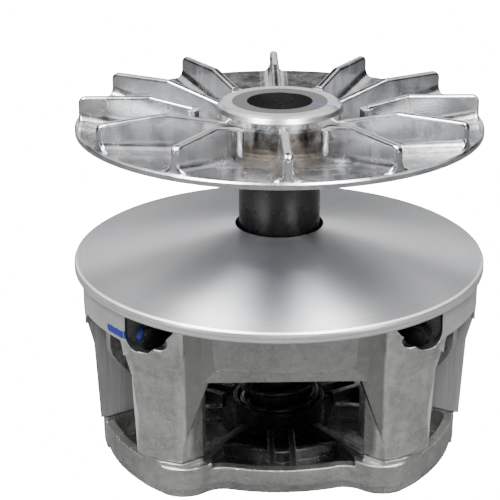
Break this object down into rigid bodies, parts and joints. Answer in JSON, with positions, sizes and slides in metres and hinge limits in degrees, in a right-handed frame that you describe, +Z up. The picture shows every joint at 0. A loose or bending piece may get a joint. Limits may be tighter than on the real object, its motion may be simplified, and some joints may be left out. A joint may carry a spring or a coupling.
{
  "type": "belt drive clutch pulley",
  "caption": "Centrifugal drive clutch pulley: conical sheave halves on a hollow post, finned fixed half above, sliding half with towers, flyweights and lobed cover below.",
  "frame": {"origin": "on the shaft axis in the plane of the cover's underside, where the part stands", "axes": "+Z up along the shaft axis towards the finned fixed half; -Y through the middle of one window between the towers"},
  "size_m": [0.203, 0.203, 0.1767],
  "materials": {
    "sheave_casting": "bright die-cast with machined hub",
    "tower_casting": "sand-blasted casting, turned belt face",
    "cover_casting": "sand-blasted casting",
    "spider_casting": "dark casting",
    "black_steel": "satin black coat on steel",
    "spring_steel": "black coated spring wire",
    "bush_metal": "lined bearing metal",
    "roller_metal": "ground",
    "pin_steel": "ground",
    "weight_steel": "hardened, ground cam face",
    "fastener_steel": "zinc plated",
    "slide_plastic": "moulded, matte"
  },
  "bodies": {
    "shaft_assembly": {"fixed_sheave": "sheave_casting", "post_shaft": "black_steel", "spider": "spider_casting", "spider_nut": "black_steel", "spider_buttons": "slide_plastic", "roller_pins": "pin_steel", "primary_spring": "spring_steel"},
    "movable_assembly": {"movable_sheave": "tower_casting", "movable_bushing": "bush_metal", "cover": "cover_casting", "cover_bushing": "bush_metal", "spring_cup": "black_steel", "cover_screws": "fastener_steel", "pivot_bolts": "fastener_steel", "pivot_nuts": "fastener_steel"},
    "flyweight_assembly_1": {"flyweight_1": "weight_steel", "flyweight_bush_1": "bush_metal"},
    "roller_assembly_1": {"roller_1": "roller_metal", "roller_bush_1": "bush_metal"},
    "flyweight_assembly_2": {"flyweight_2": "weight_steel", "flyweight_bush_2": "bush_metal"},
    "roller_assembly_2": {"roller_2": "roller_metal", "roller_bush_2": "bush_metal"},
    "flyweight_assembly_3": {"flyweight_3": "weight_steel", "flyweight_bush_3": "bush_metal"},
    "roller_assembly_3": {"roller_3": "roller_metal", "roller_bush_3": "bush_metal"}
  },
  "joints": [
    {"name": "shift_slide", "type": "slide", "parent": "shaft_assembly", "child": "movable_assembly", "axis": [0, 0, 1], "range_m": [0, 0.022], "stiffness_N_per_m": 8000, "springref_m": -0.05, "deforming": ["primary_spring"]},
    {"name": "flyweight_pivot_1", "type": "hinge", "parent": "movable_assembly", "child": "flyweight_assembly_1", "pos_m": [0, 0.087, 0.0815], "axis": [1, 0, 0], "range_deg": [0, 46]},
    {"name": "roller_spin_1", "type": "hinge", "parent": "shaft_assembly", "child": "roller_assembly_1", "pos_m": [0, 0.062, 0.0605], "axis": [-1, 0, 0], "continuous": true},
    {"name": "flyweight_pivot_2", "type": "hinge", "parent": "movable_assembly", "child": "flyweight_assembly_2", "pos_m": [-0.07534, -0.0435, 0.0815], "axis": [-0.5, 0.866, 0], "range_deg": [0, 46]},
    {"name": "roller_spin_2", "type": "hinge", "parent": "shaft_assembly", "child": "roller_assembly_2", "pos_m": [-0.05369, -0.031, 0.0605], "axis": [0.5, -0.866, 0], "continuous": true},
    {"name": "flyweight_pivot_3", "type": "hinge", "parent": "movable_assembly", "child": "flyweight_assembly_3", "pos_m": [0.07534, -0.0435, 0.0815], "axis": [-0.5, -0.866, 0], "range_deg": [0, 46]},
    {"name": "roller_spin_3", "type": "hinge", "parent": "shaft_assembly", "child": "roller_assembly_3", "pos_m": [0.05369, -0.031, 0.0605], "axis": [0.5, 0.866, 0], "continuous": true}
  ],
  "couplings": [
    {"joint": "flyweight_pivot_1", "follows": "shift_slide", "rad_per_m": 36.49},
    {"joint": "flyweight_pivot_2", "follows": "shift_slide", "rad_per_m": 36.49},
    {"joint": "flyweight_pivot_3", "follows": "shift_slide", "rad_per_m": 36.49}
  ]
}
